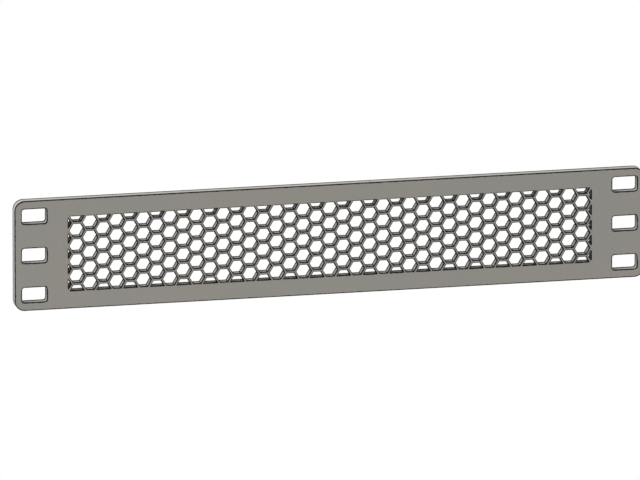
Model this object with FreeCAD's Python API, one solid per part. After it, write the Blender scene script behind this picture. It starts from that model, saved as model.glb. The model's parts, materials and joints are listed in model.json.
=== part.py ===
"""Ventilated blanking panel, one rack unit high, for a 10 inch rack.

The panel is one flat plate. It covers the opening between the two rails of the rack, and an ear
at each end lies on a rail and is screwed to it through three slots. The middle of the plate is a
honeycomb of through cells, trimmed to a rectangle, so air passes and hands and cables do not.

Frame: +X along the width, +Z up, the front looks along -Y. The origin is the centre of the rear
face, the face that is pulled against the rails. Lengths are in millimetres.
"""

import FreeCAD
import Part

import math
import os

# Rail grid. The rails leave a clear opening, and their holes repeat within one rack unit.
RAIL_OPENING = 222.25
EAR_WIDTH = 15.875
HOLES_PER_EAR = 3
HOLE_PITCH = 15.875
EDGE_TO_HOLE = 6.35

# Plate.
PLATE_THICKNESS = 4.0
PLATE_CORNER_RADIUS = 4.0

# Slots for the rail screws, one at each rail hole.
SLOT_LENGTH = 10.0
SLOT_HEIGHT = 6.0
SLOT_CORNER_RADIUS = 1.0

# Honeycomb. The lands are the solid margins between it and the ears, and above and below it.
SIDE_LAND = 5.625
TOP_LAND = 7.175
CELL_ACROSS_CORNERS = 6.0
WEB = 1.0
NARROWEST_OPENING = 0.3

# What follows from the driving sizes.
PLATE_WIDTH = RAIL_OPENING + 2 * EAR_WIDTH
PLATE_HEIGHT = (HOLES_PER_EAR - 1) * HOLE_PITCH + 2 * EDGE_TO_HOLE
FIELD_WIDTH = RAIL_OPENING - 2 * SIDE_LAND
FIELD_HEIGHT = PLATE_HEIGHT - 2 * TOP_LAND
FRONT = -PLATE_THICKNESS
SIDES_OF_CELL = 6


def point(x, z):
    """A point of the front face."""
    return FreeCAD.Vector(x, FRONT, z)


def quarter_turn(centre, radius, start):
    """A round corner on the front face, from a start angle in degrees."""
    points = []
    for degrees in (start, start + 45, start + 90):
        turn = math.radians(degrees)
        points.append(centre + FreeCAD.Vector(radius * math.cos(turn), 0, radius * math.sin(turn)))
    return Part.Arc(*points)


def rounded_rectangle(centre_x, centre_z, width, height, radius):
    """A closed outline on the front face: straight sides between four round corners."""
    right, left = centre_x + width / 2 - radius, centre_x - width / 2 + radius
    top, bottom = centre_z + height / 2 - radius, centre_z - height / 2 + radius
    corners = [
        quarter_turn(point(right, top), radius, 0),
        quarter_turn(point(left, top), radius, 90),
        quarter_turn(point(left, bottom), radius, 180),
        quarter_turn(point(right, bottom), radius, 270),
    ]
    edges = []
    for corner, following in zip(corners, corners[1:] + corners[:1]):
        edges.append(corner.toShape())
        edges.append(Part.LineSegment(corner.EndPoint, following.StartPoint).toShape())
    return Part.Wire(edges)


def plate_outline():
    """The plate's edge, with its four rounded corners."""
    return rounded_rectangle(0, 0, PLATE_WIDTH, PLATE_HEIGHT, PLATE_CORNER_RADIUS)


def screw_slots():
    """Three slots in each ear, on the ear's centre line and at the height of the rail holes."""
    across = (RAIL_OPENING + EAR_WIDTH) / 2
    lowest = EDGE_TO_HOLE - PLATE_HEIGHT / 2
    wires = []
    for side in (-1, 1):
        for hole in range(HOLES_PER_EAR):
            height = lowest + hole * HOLE_PITCH
            wires.append(
                rounded_rectangle(side * across, height, SLOT_LENGTH, SLOT_HEIGHT, SLOT_CORNER_RADIUS)
            )
    return wires


def hexagon(centre_x, centre_z):
    """One cell, with two level sides and a corner to the left and to the right."""
    radius = CELL_ACROSS_CORNERS / 2
    corners = []
    for side in range(SIDES_OF_CELL + 1):
        turn = 2 * math.pi * side / SIDES_OF_CELL
        corners.append(point(centre_x + radius * math.cos(turn), centre_z + radius * math.sin(turn)))
    return Part.Face(Part.makePolygon(corners))


def field():
    """The rectangle that the honeycomb is trimmed to."""
    right, top = FIELD_WIDTH / 2, FIELD_HEIGHT / 2
    corners = [point(right, top), point(-right, top), point(-right, -top), point(right, -top)]
    return Part.Face(Part.makePolygon(corners + corners[:1]))


def honeycomb():
    """The cells' outlines: a hexagonal grid centred on the plate and trimmed to the field.

    The middle column has a cell at the plate's centre, and each column beside it is half a cell
    higher. The trim leaves half cells along the top and bottom and bare tips at the two ends.
    """
    cell_pitch = CELL_ACROSS_CORNERS * math.cos(math.pi / SIDES_OF_CELL) + WEB
    column_pitch = cell_pitch * math.cos(math.pi / SIDES_OF_CELL)
    columns = math.ceil(FIELD_WIDTH / 2 / column_pitch) + 1
    rows = math.ceil(FIELD_HEIGHT / 2 / cell_pitch) + 1
    cells = []
    for column in range(-columns, columns + 1):
        offset = 0.5 * (column % 2)
        for row in range(-rows, rows + 1):
            cells.append(hexagon(column * column_pitch, (row - offset) * cell_pitch))

    trimmed = Part.makeCompound(cells).common(field())
    wires = []
    for cell in trimmed.Faces:
        box = cell.BoundBox
        if min(box.XLength, box.ZLength) >= NARROWEST_OPENING:
            wires.append(cell.OuterWire)
    return wires


def panel():
    """The whole panel: its outline with every opening in it, carried back through the plate."""
    outlines = [plate_outline()] + screw_slots() + honeycomb()
    front_face = Part.makeFace(outlines, "Part::FaceMakerBullseye")
    return front_face.extrude(FreeCAD.Vector(0, PLATE_THICKNESS, 0))


os.makedirs("parts", exist_ok=True)
blank = panel()
blank.exportStep("parts/panel.step")
print("panel: valid", blank.isValid(), "solids", len(blank.Solids), "faces", len(blank.Faces))
print("volume mm3", round(blank.Volume, 1))
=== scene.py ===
import json
import math

import bmesh
import bpy
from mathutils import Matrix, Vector


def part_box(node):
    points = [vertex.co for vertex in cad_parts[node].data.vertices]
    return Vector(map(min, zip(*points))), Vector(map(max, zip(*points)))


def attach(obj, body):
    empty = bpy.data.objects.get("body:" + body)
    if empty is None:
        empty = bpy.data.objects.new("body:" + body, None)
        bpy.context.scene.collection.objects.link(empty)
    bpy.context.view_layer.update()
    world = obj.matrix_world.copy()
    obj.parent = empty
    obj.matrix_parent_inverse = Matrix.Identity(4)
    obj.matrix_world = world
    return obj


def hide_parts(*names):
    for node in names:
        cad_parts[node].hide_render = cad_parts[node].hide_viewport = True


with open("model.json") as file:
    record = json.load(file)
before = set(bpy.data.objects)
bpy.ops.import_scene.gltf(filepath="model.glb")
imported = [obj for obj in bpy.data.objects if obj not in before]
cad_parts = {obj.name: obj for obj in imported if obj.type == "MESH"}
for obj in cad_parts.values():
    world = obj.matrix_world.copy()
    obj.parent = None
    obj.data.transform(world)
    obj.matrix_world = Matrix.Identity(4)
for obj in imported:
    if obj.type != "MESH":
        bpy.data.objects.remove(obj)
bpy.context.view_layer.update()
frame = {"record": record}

# ---------------------------------------------------------------------------------------------
# Panel. One flat plate of 4 mm steel, laser cut in one piece: its outline, three screw slots in
# each ear and a honeycomb trimmed to a rectangle. Its sharp edges are broken, it is primed and
# powder coated, and screws through the ears hold it on the rails of the rack.

MILLIMETRE = 0.001

# The plate fills the box that the frame gives for it.
panel_low, panel_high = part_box("panel")
WIDTH = panel_high.x - panel_low.x
HEIGHT = panel_high.z - panel_low.z
THICKNESS = panel_high.y - panel_low.y
PLATE_CORNER_RADIUS = 4.0 * MILLIMETRE
PLATE_CORNER_STEPS = 16

# The slots lie on the rail holes. The record's mounts give their spacing, length and height.
mounts = {mount["name"]: mount["dims"] for mount in frame["record"]["mounts"]}
corner_slots = mounts["rail_slots_corners"]
SLOT_SPACING = corner_slots["spacing_x_mm"] * MILLIMETRE
SLOT_RISE = corner_slots["spacing_y_mm"] * MILLIMETRE
SLOT_LENGTH = corner_slots["slot_length_mm"] * MILLIMETRE
SLOT_HEIGHT = 2 * corner_slots["hole_r_mm"] * MILLIMETRE
SLOT_CORNER_RADIUS = 1.0 * MILLIMETRE
SLOT_CORNER_STEPS = 6
SLOTS_PER_EAR = 3

# The field is the rectangle that trims the honeycomb, and is far deeper than the plate. Each cell
# has two level sides.
FIELD_WIDTH = 211.0 * MILLIMETRE
FIELD_HEIGHT = 30.1 * MILLIMETRE
FIELD_DEPTH = 1.0
SIDES_OF_CELL = 6
CELL_ACROSS_CORNERS = 6.0 * MILLIMETRE
WEB = 1.0 * MILLIMETRE
CELL_PITCH = CELL_ACROSS_CORNERS * math.cos(math.pi / SIDES_OF_CELL) + WEB
COLUMN_PITCH = CELL_PITCH * math.cos(math.pi / SIDES_OF_CELL)
COLUMNS = 2 * math.ceil(FIELD_WIDTH / 2 / COLUMN_PITCH) + 1
ROWS = 2 * math.ceil(FIELD_HEIGHT / 2 / CELL_PITCH) + 1

# The broken edge. Where two sides meet at less than about 65 degrees it is cut short, so it
# doesn't run out to a spike.
ARRIS = 0.07 * MILLIMETRE
SHARPEST_MITRE = 0.6

# How far the thin coat reaches from the broken edge. Powder is sprayed at the front and hardly
# enters an opening. The primer shows along each wall from its rear edge, and less from its front
# edge, and then fades out. It doesn't fade out in the inside corners, where a side turns by more
# than 30 degrees. On the walls of a cell that face down by more than 25 degrees the dark primer
# colour is put over the whole wall as painted shade, the shade under the steel above.
PLATE_THIN_ON_FACE = 0.62 * MILLIMETRE
PLATE_BARE_AT_FRONT = 0.3 * MILLIMETRE
PLATE_BARE_AT_REAR = 0.9 * MILLIMETRE
SLOT_THIN_ON_FACE = 0.62 * MILLIMETRE
SLOT_BARE_AT_FRONT = 0.36 * MILLIMETRE
SLOT_BARE_AT_REAR = 1.4 * MILLIMETRE
CELL_THIN_ON_FACE = 0.41 * MILLIMETRE
CELL_BARE_AT_FRONT = 0.55 * MILLIMETRE
CELL_BARE_AT_REAR = 1.15 * MILLIMETRE
THIN_ON_WALL = 0.3 * MILLIMETRE
THIN_IN_CORNER = 0.5 * MILLIMETRE
INSIDE_CORNER = math.cos(math.radians(30))
FACES_DOWN = math.sin(math.radians(25))
FACES_UP = 0.5
POINTS_PER_SIDE = 3

WELD = 0.001 * MILLIMETRE
UPRIGHT = math.radians(90)
SHARP_EDGE = math.radians(50)


def add_node(tree, kind, inputs, **settings):
    """Adds a node with its settings. An input is a value, a socket, a node or a list of these."""
    node = tree.nodes.new(kind)
    for name, value in settings.items():
        setattr(node, name, value)
    for name, value in inputs.items():
        for source in value if isinstance(value, list) else [value]:
            if isinstance(source, bpy.types.Node):
                source = source.outputs[0]
            if isinstance(source, bpy.types.NodeSocket):
                tree.links.new(source, node.inputs[name])
            else:
                node.inputs[name].default_value = source
    return node


tree = bpy.data.node_groups.new("vented_panel", "GeometryNodeTree")
tree.is_modifier = True
panel_inputs = {
    "Width": ("NodeSocketFloat", WIDTH),
    "Height": ("NodeSocketFloat", HEIGHT),
    "Thickness": ("NodeSocketFloat", THICKNESS),
    "Plate Corner Radius": ("NodeSocketFloat", PLATE_CORNER_RADIUS),
    "Plate Corner Steps": ("NodeSocketInt", PLATE_CORNER_STEPS),
    "Slot Spacing": ("NodeSocketFloat", SLOT_SPACING),
    "Slot Rise": ("NodeSocketFloat", SLOT_RISE),
    "Slots per Ear": ("NodeSocketInt", SLOTS_PER_EAR),
    "Slot Length": ("NodeSocketFloat", SLOT_LENGTH),
    "Slot Height": ("NodeSocketFloat", SLOT_HEIGHT),
    "Slot Corner Radius": ("NodeSocketFloat", SLOT_CORNER_RADIUS),
    "Slot Corner Steps": ("NodeSocketInt", SLOT_CORNER_STEPS),
    "Field Width": ("NodeSocketFloat", FIELD_WIDTH),
    "Field Height": ("NodeSocketFloat", FIELD_HEIGHT),
    "Field Depth": ("NodeSocketFloat", FIELD_DEPTH),
    "Sides of Cell": ("NodeSocketInt", SIDES_OF_CELL),
    "Cell across Corners": ("NodeSocketFloat", CELL_ACROSS_CORNERS),
    "Cell Pitch": ("NodeSocketFloat", CELL_PITCH),
    "Column Pitch": ("NodeSocketFloat", COLUMN_PITCH),
    "Columns": ("NodeSocketInt", COLUMNS),
    "Rows": ("NodeSocketInt", ROWS),
    "Arris": ("NodeSocketFloat", ARRIS),
    "Plate Thin on Face": ("NodeSocketFloat", PLATE_THIN_ON_FACE),
    "Plate Bare at Front": ("NodeSocketFloat", PLATE_BARE_AT_FRONT),
    "Plate Bare at Rear": ("NodeSocketFloat", PLATE_BARE_AT_REAR),
    "Slot Thin on Face": ("NodeSocketFloat", SLOT_THIN_ON_FACE),
    "Slot Bare at Front": ("NodeSocketFloat", SLOT_BARE_AT_FRONT),
    "Slot Bare at Rear": ("NodeSocketFloat", SLOT_BARE_AT_REAR),
    "Cell Thin on Face": ("NodeSocketFloat", CELL_THIN_ON_FACE),
    "Cell Bare at Front": ("NodeSocketFloat", CELL_BARE_AT_FRONT),
    "Cell Bare at Rear": ("NodeSocketFloat", CELL_BARE_AT_REAR),
    "Thin on Wall": ("NodeSocketFloat", THIN_ON_WALL),
    "Thin in Corner": ("NodeSocketFloat", THIN_IN_CORNER),
    "Material": ("NodeSocketMaterial", None),
}
for name, (kind, value) in panel_inputs.items():
    tree.interface.new_socket(name, in_out="INPUT", socket_type=kind)
tree.interface.new_socket("Geometry", in_out="OUTPUT", socket_type="NodeSocketGeometry")
sizes = add_node(tree, "NodeGroupInput", {}).outputs
position = add_node(tree, "GeometryNodeInputPosition", {}).outputs[0]

# Cell centres: a grid in which every other column is moved up by half a cell.
span = {}
for name, count, pitch in (("x", "Columns", "Column Pitch"), ("y", "Rows", "Cell Pitch")):
    gaps = add_node(tree, "ShaderNodeMath", {0: sizes[count], 1: 1.0}, operation="SUBTRACT")
    span[name] = add_node(
        tree, "ShaderNodeMath", {0: gaps, 1: sizes[pitch]}, operation="MULTIPLY"
    )
grid = add_node(
    tree,
    "GeometryNodeMeshGrid",
    {
        "Size X": span["x"],
        "Size Y": span["y"],
        "Vertices X": sizes["Columns"],
        "Vertices Y": sizes["Rows"],
    },
)
across = add_node(tree, "ShaderNodeSeparateXYZ", {0: position})
column = add_node(
    tree,
    "ShaderNodeMath",
    {0: across.outputs["X"], 1: sizes["Column Pitch"]},
    operation="DIVIDE",
)
column = add_node(tree, "ShaderNodeMath", {0: column}, operation="ROUND")
odd = add_node(tree, "ShaderNodeMath", {0: column, 1: 2.0}, operation="FLOORED_MODULO")
half_cell = add_node(
    tree, "ShaderNodeMath", {0: sizes["Cell Pitch"], 1: 0.5}, operation="MULTIPLY"
)
lift = add_node(tree, "ShaderNodeMath", {0: odd, 1: half_cell}, operation="MULTIPLY")
raise_column = add_node(tree, "ShaderNodeCombineXYZ", {"Y": lift})
centres = add_node(
    tree,
    "GeometryNodeSetPosition",
    {"Geometry": grid.outputs["Mesh"], "Offset": raise_column},
)

# Cells: six-sided prisms, trimmed by the field, of which the upper faces are kept.
radius = add_node(
    tree, "ShaderNodeMath", {0: sizes["Cell across Corners"], 1: 0.5}, operation="MULTIPLY"
)
prism = add_node(
    tree,
    "GeometryNodeMeshCylinder",
    {"Vertices": sizes["Sides of Cell"], "Radius": radius, "Depth": sizes["Thickness"]},
)
prisms = add_node(
    tree,
    "GeometryNodeInstanceOnPoints",
    {"Points": centres, "Instance": prism.outputs["Mesh"]},
)
prisms = add_node(tree, "GeometryNodeRealizeInstances", {0: prisms})
field_size = add_node(
    tree,
    "ShaderNodeCombineXYZ",
    {"X": sizes["Field Width"], "Y": sizes["Field Height"], "Z": sizes["Field Depth"]},
)
field = add_node(tree, "GeometryNodeMeshCube", {"Size": field_size})
trimmed = add_node(
    tree,
    "GeometryNodeMeshBoolean",
    {"Mesh 2": [prisms, field.outputs["Mesh"]]},
    operation="INTERSECT",
    solver="EXACT",
)
normal = add_node(tree, "GeometryNodeInputNormal", {})
facing = add_node(tree, "ShaderNodeSeparateXYZ", {0: normal})
not_upper = add_node(
    tree,
    "FunctionNodeCompare",
    {0: facing.outputs["Z"], 1: FACES_UP},
    data_type="FLOAT",
    operation="LESS_THAN",
)
cells = add_node(
    tree,
    "GeometryNodeDeleteGeometry",
    {"Geometry": trimmed.outputs["Mesh"], "Selection": not_upper},
    domain="FACE",
)
neighbours = add_node(tree, "GeometryNodeInputMeshEdgeNeighbors", {})
rim = add_node(
    tree, "FunctionNodeCompare", {2: neighbours, 3: 1}, data_type="INT", operation="EQUAL"
)
cells = add_node(tree, "GeometryNodeMeshToCurve", {"Mesh": cells, "Selection": rim})

# Each side of a cell gets two points between its corners, one close to each of them, where the
# thin coat in the corner ends. The first is moved towards the corner behind it and the second
# towards the corner ahead.
cells = add_node(
    tree, "GeometryNodeSubdivideCurve", {"Curve": cells, "Cuts": POINTS_PER_SIDE - 1}
)
along = add_node(tree, "GeometryNodeSplineParameter", {})
place = add_node(
    tree,
    "ShaderNodeMath",
    {0: along.outputs["Index"], 1: float(POINTS_PER_SIDE)},
    operation="MODULO",
)
to_corner = add_node(
    tree,
    "ShaderNodeMath",
    {0: place, 1: 2.0, 2: -float(POINTS_PER_SIDE)},
    operation="MULTIPLY_ADD",
)
corner = add_node(tree, "GeometryNodeOffsetPointInCurve", {"Offset": to_corner})
corner = add_node(
    tree,
    "GeometryNodeFieldAtIndex",
    {"Value": position, "Index": corner.outputs["Point Index"]},
    data_type="FLOAT_VECTOR",
    domain="POINT",
)
away = add_node(
    tree, "ShaderNodeVectorMath", {0: position, 1: corner}, operation="SUBTRACT"
)
away = add_node(tree, "ShaderNodeVectorMath", {0: away}, operation="NORMALIZE")
near_corner = add_node(
    tree,
    "ShaderNodeVectorMath",
    {0: away, 1: sizes["Thin in Corner"], 2: corner},
    operation="MULTIPLY_ADD",
)
cells = add_node(
    tree,
    "GeometryNodeSetPosition",
    {"Geometry": cells, "Selection": place, "Position": near_corner},
)

# Slots: a rounded rectangle at each rail hole.
slot = add_node(
    tree,
    "GeometryNodeCurvePrimitiveQuadrilateral",
    {"Width": sizes["Slot Length"], "Height": sizes["Slot Height"]},
    mode="RECTANGLE",
)
slot = add_node(
    tree,
    "GeometryNodeFilletCurve",
    {
        "Curve": slot,
        "Count": sizes["Slot Corner Steps"],
        "Radius": sizes["Slot Corner Radius"],
    },
    mode="POLY",
)
rail_holes = add_node(
    tree,
    "GeometryNodeMeshGrid",
    {
        "Size X": sizes["Slot Spacing"],
        "Size Y": sizes["Slot Rise"],
        "Vertices X": 2,
        "Vertices Y": sizes["Slots per Ear"],
    },
)
slots = add_node(
    tree,
    "GeometryNodeInstanceOnPoints",
    {"Points": rail_holes.outputs["Mesh"], "Instance": slot},
)
slots = add_node(tree, "GeometryNodeRealizeInstances", {0: slots})

# Outline of the plate.
outline = add_node(
    tree,
    "GeometryNodeCurvePrimitiveQuadrilateral",
    {"Width": sizes["Width"], "Height": sizes["Height"]},
    mode="RECTANGLE",
)
outline = add_node(
    tree,
    "GeometryNodeFilletCurve",
    {
        "Curve": outline,
        "Count": sizes["Plate Corner Steps"],
        "Radius": sizes["Plate Corner Radius"],
    },
    mode="POLY",
)

# Each loop is marked with the side that the steel is on, outside an opening and inside the
# outline, with whether it is a small opening, and with how far its thin coat reaches.
loops = []
for loop, steel_side, small, kind in (
    (cells, 1.0, 1.0, "Cell"),
    (slots, 1.0, 0.0, "Slot"),
    (outline, -1.0, 0.0, "Plate"),
):
    for name, value in (
        ("steel_side", steel_side),
        ("small_opening", small),
        ("thin_on_face", sizes[f"{kind} Thin on Face"]),
        ("bare_at_front", sizes[f"{kind} Bare at Front"]),
        ("bare_at_rear", sizes[f"{kind} Bare at Rear"]),
    ):
        loop = add_node(
            tree,
            "GeometryNodeStoreNamedAttribute",
            {"Geometry": loop, "Name": name, "Value": value},
            data_type="FLOAT",
            domain="POINT",
        )
    loops.append(loop)
loops = add_node(tree, "GeometryNodeJoinGeometry", {0: loops})
flat = add_node(
    tree, "ShaderNodeVectorMath", {0: position, 1: (1.0, 1.0, 0.0)}, operation="MULTIPLY"
)
loops = add_node(tree, "GeometryNodeSetPosition", {"Geometry": loops, "Position": flat})

# The way into the steel at each point of a loop, long enough that both sides move by one unit.
step = {}
for name, offset in (("behind", -1), ("ahead", 1)):
    index = add_node(tree, "GeometryNodeOffsetPointInCurve", {"Offset": offset})
    step[name] = add_node(
        tree,
        "GeometryNodeFieldAtIndex",
        {"Value": position, "Index": index.outputs["Point Index"]},
        data_type="FLOAT_VECTOR",
        domain="POINT",
    )
sides = []
for start, end in ((step["behind"], position), (position, step["ahead"])):
    side = add_node(tree, "ShaderNodeVectorMath", {0: end, 1: start}, operation="SUBTRACT")
    side = add_node(tree, "ShaderNodeVectorMath", {0: side}, operation="NORMALIZE")
    sides.append(
        add_node(
            tree,
            "ShaderNodeVectorMath",
            {0: side, 1: (0.0, 0.0, 1.0)},
            operation="CROSS_PRODUCT",
        )
    )
both = add_node(tree, "ShaderNodeVectorMath", {0: sides[0], 1: sides[1]}, operation="ADD")
turn = add_node(
    tree, "ShaderNodeVectorMath", {0: sides[0], 1: sides[1]}, operation="DOT_PRODUCT"
)
mitre = add_node(
    tree, "ShaderNodeMath", {0: turn.outputs["Value"], 1: 1.0}, operation="ADD"
)
blunted = add_node(
    tree, "ShaderNodeMath", {0: mitre, 1: SHARPEST_MITRE}, operation="MAXIMUM"
)

# A loop's signed area tells which way round it runs.
swept = add_node(
    tree,
    "ShaderNodeVectorMath",
    {0: position, 1: step["ahead"]},
    operation="CROSS_PRODUCT",
)
swept = add_node(tree, "ShaderNodeSeparateXYZ", {0: swept})
loop_of_point = add_node(tree, "GeometryNodeCurveOfPoint", {})
area = add_node(
    tree,
    "GeometryNodeAccumulateField",
    {"Value": swept.outputs["Z"], "Group ID": loop_of_point.outputs["Curve Index"]},
    data_type="FLOAT",
    domain="POINT",
)
direction = add_node(tree, "ShaderNodeMath", {0: area.outputs["Total"]}, operation="SIGN")
steel_side = add_node(
    tree, "GeometryNodeInputNamedAttribute", {"Name": "steel_side"}, data_type="FLOAT"
)
direction = add_node(
    tree, "ShaderNodeMath", {0: direction, 1: steel_side}, operation="MULTIPLY"
)
scale = add_node(tree, "ShaderNodeMath", {0: direction, 1: blunted}, operation="DIVIDE")
into_steel = add_node(
    tree, "ShaderNodeVectorMath", {0: both, "Scale": scale}, operation="SCALE"
)
inside_corner = add_node(
    tree,
    "FunctionNodeCompare",
    {0: turn.outputs["Value"], 1: INSIDE_CORNER},
    data_type="FLOAT",
    operation="LESS_THAN",
)

# A wall that faces down has its steel above it. On a cell, such a wall is marked to take the dark
# primer colour all over, which is painted shade: the shade under the steel above.
upward = add_node(tree, "ShaderNodeSeparateXYZ", {0: into_steel})
faces_down = add_node(
    tree,
    "FunctionNodeCompare",
    {0: upward.outputs["Y"], 1: FACES_DOWN},
    data_type="FLOAT",
    operation="GREATER_THAN",
)
small_opening = add_node(
    tree, "GeometryNodeInputNamedAttribute", {"Name": "small_opening"}, data_type="FLOAT"
)
# Painted shade: cell walls that face down are marked dark all over, as if in the shade of the
# steel above.
sheltered = add_node(
    tree, "ShaderNodeMath", {0: faces_down, 1: small_opening}, operation="MULTIPLY"
)
sheltered = add_node(
    tree, "ShaderNodeMath", {0: sheltered, 1: inside_corner}, operation="MAXIMUM"
)

# The extrusions below move the points, so what is needed later is stored on them first.
for name, value, kind in (
    ("into_steel", into_steel, "FLOAT_VECTOR"),
    ("loop_place", position, "FLOAT_VECTOR"),
    ("sheltered", sheltered, "FLOAT"),
):
    loops = add_node(
        tree,
        "GeometryNodeStoreNamedAttribute",
        {"Geometry": loops, "Name": name, "Value": value},
        data_type=kind,
        domain="POINT",
    )
kept = {}
for name, kind in (
    ("into_steel", "FLOAT_VECTOR"),
    ("loop_place", "FLOAT_VECTOR"),
    ("sheltered", "FLOAT"),
    ("thin_on_face", "FLOAT"),
    ("bare_at_front", "FLOAT"),
    ("bare_at_rear", "FLOAT"),
):
    kept[name] = add_node(
        tree, "GeometryNodeInputNamedAttribute", {"Name": name}, data_type=kind
    )

# Rings from the front face, over the broken edge, through the plate and out at the rear face.
# Each has its reach into the steel, its distance from the middle of the thickness, the half that
# it lies in, and how thin the coat is there. In the middle of a cell wall that faces down, this
# value puts painted shade there instead.
face = add_node(
    tree, "ShaderNodeMath", {0: sizes["Thickness"], 1: 0.5}, operation="MULTIPLY"
)
shoulder = add_node(
    tree, "ShaderNodeMath", {0: face, 1: sizes["Arris"]}, operation="SUBTRACT"
)
margin = add_node(
    tree, "ShaderNodeMath", {0: sizes["Arris"], 1: kept["thin_on_face"]}, operation="ADD"
)
rings = []
for half, bare_length in ((1.0, kept["bare_at_front"]), (-1.0, kept["bare_at_rear"])):
    bare = add_node(
        tree, "ShaderNodeMath", {0: shoulder, 1: bare_length}, operation="SUBTRACT"
    )
    thin = add_node(
        tree, "ShaderNodeMath", {0: bare, 1: sizes["Thin on Wall"]}, operation="SUBTRACT"
    )
    half_rings = [
        (margin, face, half, 0.0),
        (sizes["Arris"], face, half, 1.0),
        (0.0, shoulder, half, 1.0),
        (0.0, bare, half, 1.0),
        (0.0, thin, half, kept["sheltered"]),
    ]
    rings += half_rings if half > 0 else half_rings[::-1]

placed_rings = []
for reach, level, half, thin_and_shade_there in rings:
    reached = add_node(
        tree,
        "ShaderNodeVectorMath",
        {0: kept["into_steel"], "Scale": reach},
        operation="SCALE",
    )
    reached = add_node(
        tree, "ShaderNodeVectorMath", {0: reached, 1: kept["loop_place"]}, operation="ADD"
    )
    level = add_node(tree, "ShaderNodeMath", {0: level, 1: half}, operation="MULTIPLY")
    lifted = add_node(tree, "ShaderNodeCombineXYZ", {"Z": level})
    ring_place = add_node(
        tree, "ShaderNodeVectorMath", {0: reached, 1: lifted}, operation="ADD"
    )
    placed_rings.append((ring_place, thin_and_shade_there))

# The first ring also bounds the broad face. The walls grow from it, one ring after another.
first_place, first_thin_and_shade = placed_rings[0]
first_ring = add_node(
    tree, "GeometryNodeSetPosition", {"Geometry": loops, "Position": first_place}
)
plate_face = add_node(
    tree, "GeometryNodeFillCurve", {"Curve": first_ring}, mode="TRIANGLES"
)
walls = add_node(tree, "GeometryNodeCurveToMesh", {"Curve": first_ring})
walls = add_node(
    tree,
    "GeometryNodeStoreNamedAttribute",
    {"Geometry": walls, "Name": "thin_coat", "Value": first_thin_and_shade},
    data_type="FLOAT",
    domain="POINT",
)
last_ring = True
for ring_place, thin_and_shade_there in placed_rings[1:]:
    strip = add_node(
        tree,
        "GeometryNodeExtrudeMesh",
        {"Mesh": walls, "Selection": last_ring, "Offset Scale": 0.0},
        mode="EDGES",
    )
    last_ring = strip.outputs["Top"]
    walls = add_node(
        tree,
        "GeometryNodeSetPosition",
        {
            "Geometry": strip.outputs["Mesh"],
            "Selection": last_ring,
            "Position": ring_place,
        },
    )
    walls = add_node(
        tree,
        "GeometryNodeStoreNamedAttribute",
        {
            "Geometry": walls,
            "Selection": last_ring,
            "Name": "thin_coat",
            "Value": thin_and_shade_there,
        },
        data_type="FLOAT",
        domain="POINT",
    )

# The two broad faces close the plate, which is then stood up with its rear face on the rails.
parts = [walls]
for half in (1.0, -1.0):
    level = add_node(tree, "ShaderNodeMath", {0: face, 1: half}, operation="MULTIPLY")
    lifted = add_node(tree, "ShaderNodeCombineXYZ", {"Z": level})
    parts.append(
        add_node(
            tree,
            "GeometryNodeTransform",
            {"Geometry": plate_face, "Translation": lifted},
        )
    )
plate = add_node(tree, "GeometryNodeJoinGeometry", {0: parts})
plate = add_node(
    tree, "GeometryNodeMergeByDistance", {"Geometry": plate, "Distance": WELD}
)
forward = add_node(tree, "ShaderNodeMath", {0: face, 1: -1.0}, operation="MULTIPLY")
seat = add_node(tree, "ShaderNodeCombineXYZ", {"Y": forward})
plate = add_node(
    tree,
    "GeometryNodeTransform",
    {"Geometry": plate, "Translation": seat, "Rotation": (UPRIGHT, 0.0, 0.0)},
)
for name in [*kept, "steel_side", "small_opening"]:
    plate = add_node(tree, "GeometryNodeRemoveAttribute", {"Geometry": plate, "Name": name})
plate = add_node(tree, "GeometryNodeRealizeInstances", {0: plate})
plate = add_node(
    tree,
    "GeometryNodeSetMaterial",
    {"Geometry": plate, "Material": sizes["Material"]},
)
add_node(tree, "NodeGroupOutput", {0: plate})

# Satin powder coat over black primer on steel: sprayed on dry, then melted in an oven. It flows
# into a faint orange peel with a fine grain, wanders a little in tone and gloss, and pulls back
# from sharp edges, so the dull primer shows along them through a border of fine specks. The same
# dark primer colour is also put over the cell walls that face down, as painted shade.
COAT_WARM = "#9c9790"
COAT_COOL = "#989790"
PRIMER_AND_PAINTED_SHADE = "#141312"
COAT_IOR = 1.5
COAT_SPECULAR = 0.15
COAT_ROUGHNESS = (0.50, 0.62)
PRIMER_ROUGHNESS = 0.9

# Real peel is about 0.01 mm deep and real grain 0.05 mm across. They are drawn deeper and coarser,
# or they would not show.
CLOUDS = 32.0 * MILLIMETRE
BORDER_WAVES = 1.2 * MILLIMETRE
SPECKS = 0.3 * MILLIMETRE
ORANGE_PEEL = 2.2 * MILLIMETRE
ORANGE_PEEL_DEPTH = 0.25 * MILLIMETRE
GRAIN = 0.8 * MILLIMETRE
GRAIN_DEPTH = 0.07 * MILLIMETRE

# How much of a noise is used, how far the border of the bare edge wanders and breaks up, how soft
# it is, and how much of the tone comes from the grain.
NOISE_MIDDLE = (0.3, 0.7)
BORDER_WANDER = 0.14
SPECK_WANDER = 0.11
BORDER_SOFTNESS = (0.25, 0.75)
GRAIN_TONE = 0.6
TONE_RANGE = (0.6, 1.0)


def linear(colour):
    """The linear colour of an sRGB hex value."""
    channels = [int(colour[at : at + 2], 16) / 255 for at in (1, 3, 5)]
    return (*(c / 12.92 if c <= 0.04045 else ((c + 0.055) / 1.055) ** 2.4 for c in channels), 1.0)


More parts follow.
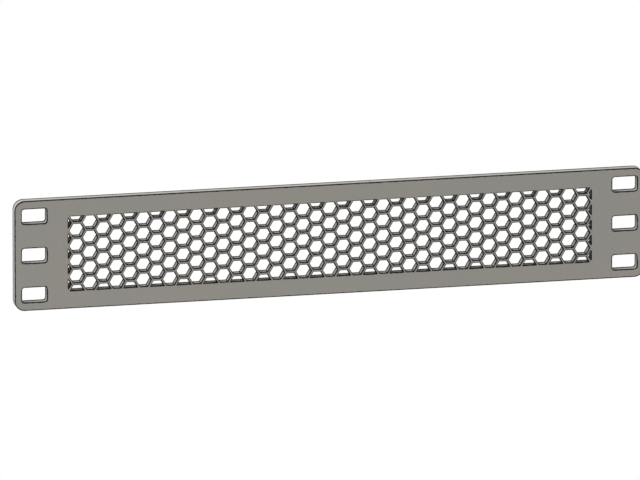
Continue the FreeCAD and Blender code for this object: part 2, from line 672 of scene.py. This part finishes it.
coat = bpy.data.materials.new("satin_powder_coat")
coat.use_nodes = True
coat_nodes = coat.node_tree
shader = coat_nodes.nodes["Principled BSDF"]
shader.inputs["IOR"].default_value = COAT_IOR
shader.inputs["Specular IOR Level"].default_value = COAT_SPECULAR
coordinates = add_node(coat_nodes, "ShaderNodeTexCoord", {}).outputs["Object"]
noise = {}
for name, size, detail in (
    ("clouds", CLOUDS, 3.0),
    ("border", BORDER_WAVES, 2.0),
    ("specks", SPECKS, 1.0),
    ("peel", ORANGE_PEEL, 1.0),
    ("grain", GRAIN, 2.0),
):
    noise[name] = add_node(
        coat_nodes,
        "ShaderNodeTexNoise",
        {"Vector": coordinates, "Scale": 1 / size, "Detail": detail},
    ).outputs["Fac"]

# Bare edges and painted shade: the mesh says how thin the coat is and which cell walls that face
# down get painted shade, and two noises fray the border.
thin_coat = add_node(coat_nodes, "ShaderNodeAttribute", {}, attribute_name="thin_coat")
thinness_and_painted_shade = thin_coat.outputs["Fac"]
for name, swing in (("border", BORDER_WANDER), ("specks", SPECK_WANDER)):
    wander = add_node(
        coat_nodes,
        "ShaderNodeMapRange",
        {
            "Value": noise[name],
            "From Min": NOISE_MIDDLE[0],
            "From Max": NOISE_MIDDLE[1],
            "To Min": -swing,
            "To Max": swing,
        },
    )
    thinness_and_painted_shade = add_node(
        coat_nodes, "ShaderNodeMath", {0: thinness_and_painted_shade, 1: wander}, operation="ADD"
    )
primer_and_painted_shade = add_node(
    coat_nodes,
    "ShaderNodeMapRange",
    {"Value": thinness_and_painted_shade, "From Min": BORDER_SOFTNESS[0], "From Max": BORDER_SOFTNESS[1]},
    interpolation_type="SMOOTHSTEP",
)

# Colour and gloss, coat and primer. The primer colour is also the painted shade on the cell walls
# that face down.
tone = add_node(
    coat_nodes,
    "ShaderNodeMath",
    {0: noise["grain"], 1: GRAIN_TONE, 2: noise["clouds"]},
    operation="MULTIPLY_ADD",
)
tone = add_node(
    coat_nodes,
    "ShaderNodeMapRange",
    {"Value": tone, "From Min": TONE_RANGE[0], "From Max": TONE_RANGE[1]},
)
coat_colour = add_node(
    coat_nodes,
    "ShaderNodeMix",
    {0: tone, 6: linear(COAT_WARM), 7: linear(COAT_COOL)},
    data_type="RGBA",
)
colour = add_node(
    coat_nodes,
    "ShaderNodeMix",
    {0: primer_and_painted_shade, 6: coat_colour.outputs[2], 7: linear(PRIMER_AND_PAINTED_SHADE)},
    data_type="RGBA",
)
roughness = add_node(
    coat_nodes,
    "ShaderNodeMapRange",
    {"Value": tone, "To Min": COAT_ROUGHNESS[0], "To Max": COAT_ROUGHNESS[1]},
)
roughness = add_node(
    coat_nodes,
    "ShaderNodeMapRange",
    {"Value": primer_and_painted_shade, "To Min": roughness, "To Max": PRIMER_ROUGHNESS},
)
relief = None
for name, depth in (("peel", ORANGE_PEEL_DEPTH), ("grain", GRAIN_DEPTH)):
    below = {"Normal": relief} if relief else {}
    relief = add_node(
        coat_nodes, "ShaderNodeBump", {"Height": noise[name], "Distance": depth, **below}
    )
coat_nodes.links.new(colour.outputs[2], shader.inputs["Base Color"])
coat_nodes.links.new(roughness.outputs[0], shader.inputs["Roughness"])
coat_nodes.links.new(relief.outputs["Normal"], shader.inputs["Normal"])

blank = bpy.data.objects.new("panel_blank", bpy.data.meshes.new("panel_blank"))
bpy.context.scene.collection.objects.link(blank)
modifier = blank.modifiers.new("vented_panel", "NODES")
modifier.node_group = tree
for item in tree.interface.items_tree:
    if item.in_out == "INPUT":
        value = coat if item.name == "Material" else panel_inputs[item.name][1]
        modifier[item.identifier] = value
evaluated = blank.evaluated_get(bpy.context.evaluated_depsgraph_get())
panel_mesh = bpy.data.meshes.new_from_object(evaluated)
bpy.data.objects.remove(blank)

shell = bmesh.new()
shell.from_mesh(panel_mesh)
bmesh.ops.recalc_face_normals(shell, faces=shell.faces)
shell.to_mesh(panel_mesh)
shell.free()
panel_mesh.shade_smooth()
panel_mesh.set_sharp_from_angle(angle=SHARP_EDGE)
panel = bpy.data.objects.new("vented_blanking_panel", panel_mesh)
bpy.context.scene.collection.objects.link(panel)
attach(panel, "root")
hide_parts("panel")

# ---------------------------------------------------------------------------------------------
# Floor. A plain pale painted floor, well below the height at which the rack holds the panel. It
# takes the panel's shadow, and away from the shadow it looks plain white.
FLOOR_DROP = 0.15
FLOOR_REACH = 3.0
FLOOR_COLOUR = "#dedede"
FLOOR_ROUGHNESS = 0.9
WHITE = (1.0, 1.0, 1.0, 1.0)
SHADOW_CENTRE = (0.07, -0.07, 0.0)
SHADOW_REACH = (0.19, 0.27)

floor_mesh = bpy.data.meshes.new("floor")
corners = [(-1, -1), (1, -1), (1, 1), (-1, 1)]
floor_mesh.from_pydata(
    [(x * FLOOR_REACH, y * FLOOR_REACH, -FLOOR_DROP) for x, y in corners], [], [(0, 1, 2, 3)]
)
floor = bpy.data.objects.new("floor", floor_mesh)
bpy.context.scene.collection.objects.link(floor)


def seen_by_camera(nodes):
    """One for a ray of the camera, also by way of metal or glass, and zero for any other light."""
    rays = add_node(nodes, "ShaderNodeLightPath", {}).outputs
    seen = rays["Is Camera Ray"]
    for ray in ("Is Glossy Ray", "Is Transmission Ray"):
        seen = add_node(nodes, "ShaderNodeMath", {0: seen, 1: rays[ray]}, operation="MAXIMUM")
    return seen


# Matt floor paint, rolled on smooth and free of gloss. The camera sees it plain white where it is
# clear of the shadow.
paint = bpy.data.materials.new("pale_floor_paint")
paint.use_nodes = True
paint_nodes = paint.node_tree
painted = paint_nodes.nodes["Principled BSDF"]
painted.inputs["Base Color"].default_value = linear(FLOOR_COLOUR)
painted.inputs["Roughness"].default_value = FLOOR_ROUGHNESS
painted.inputs["Specular IOR Level"].default_value = 0.0
white = add_node(paint_nodes, "ShaderNodeEmission", {"Color": WHITE, "Strength": 1.0})
spot = add_node(paint_nodes, "ShaderNodeTexCoord", {}).outputs["Object"]
spot = add_node(paint_nodes, "ShaderNodeVectorMath", {0: spot, 1: (1, 1, 0)}, operation="MULTIPLY")
distance = add_node(
    paint_nodes, "ShaderNodeVectorMath", {0: spot, 1: SHADOW_CENTRE}, operation="DISTANCE"
)
clear = add_node(
    paint_nodes,
    "ShaderNodeMapRange",
    {
        "Value": distance.outputs["Value"],
        "From Min": SHADOW_REACH[0],
        "From Max": SHADOW_REACH[1],
    },
    interpolation_type="SMOOTHSTEP",
)
share = add_node(
    paint_nodes, "ShaderNodeMath", {0: clear, 1: seen_by_camera(paint_nodes)}, operation="MULTIPLY"
)
surface = add_node(paint_nodes, "ShaderNodeMixShader", {0: share, 1: painted, 2: white})
output = paint_nodes.nodes["Material Output"]
paint_nodes.links.new(surface.outputs[0], output.inputs["Surface"])
floor_mesh.materials.append(paint)

# ---------------------------------------------------------------------------------------------
# Light. A white room, and one large softbox high on the left and a little behind the panel, so
# the top and the left end are lighter than the front. Its power is in watts. The camera sees the
# room plain white.
WORLD_LIGHT = 0.72
LAMP_WAY = Vector((-0.54, 0.45, 0.65)).normalized()
LAMP_DISTANCE = 3.0
LAMP_SIZE = 1.6
LAMP_POWER = 94.0

scene = bpy.context.scene
scene.view_settings.view_transform = "Standard"
world = bpy.data.worlds.new("white_room")
scene.world = world
world.use_nodes = True
room_nodes = world.node_tree
strength = add_node(
    room_nodes,
    "ShaderNodeMapRange",
    {"Value": seen_by_camera(room_nodes), "To Min": WORLD_LIGHT, "To Max": 1.0},
)
background = room_nodes.nodes["Background"]
background.inputs["Color"].default_value = WHITE
room_nodes.links.new(strength.outputs[0], background.inputs["Strength"])

lamp_data = bpy.data.lights.new("softbox", "AREA")
lamp_data.shape = "SQUARE"
lamp_data.size = LAMP_SIZE
lamp_data.energy = LAMP_POWER
lamp = bpy.data.objects.new("softbox", lamp_data)
lamp.location = LAMP_WAY * LAMP_DISTANCE
lamp.rotation_mode = "QUATERNION"
lamp.rotation_quaternion = LAMP_WAY.to_track_quat("Z", "Y")
scene.collection.objects.link(lamp)

# ---------------------------------------------------------------------------------------------
# Camera. A long lens 8.4 m in front of the panel, a little to its left and above it, so that
# parallel edges look parallel. The view is centred a little to the left of the panel's middle and
# cuts its right end.
AZIMUTH = math.radians(-12.6)
ELEVATION = math.radians(14.35)

# A longer lens would stand so far off that the other views lose the panel.
LENS = 1200.0
SENSOR = 36.0
VIEW_WIDTH = 251.98 * MILLIMETRE
SHIFT_RIGHT = 4.13 * MILLIMETRE
SHIFT_UP = 0.28 * MILLIMETRE
CLIP = (0.1, 30.0)

away = Vector(
    (
        math.sin(AZIMUTH) * math.cos(ELEVATION),
        -math.cos(AZIMUTH) * math.cos(ELEVATION),
        math.sin(ELEVATION),
    )
)
camera_data = bpy.data.cameras.new("camera")
camera_data.lens = LENS
camera_data.sensor_width = SENSOR
camera_data.clip_start, camera_data.clip_end = CLIP
camera = bpy.data.objects.new("camera", camera_data)
scene.collection.objects.link(camera)
camera.rotation_mode = "QUATERNION"
camera.rotation_quaternion = away.to_track_quat("Z", "Y")
right = camera.rotation_quaternion @ Vector((1, 0, 0))
up = camera.rotation_quaternion @ Vector((0, 1, 0))
front_centre = Vector((0, panel_low.y, 0))
aim = front_centre - right * SHIFT_RIGHT - up * SHIFT_UP
camera.location = aim + away * (VIEW_WIDTH * LENS / SENSOR)
scene.camera = camera
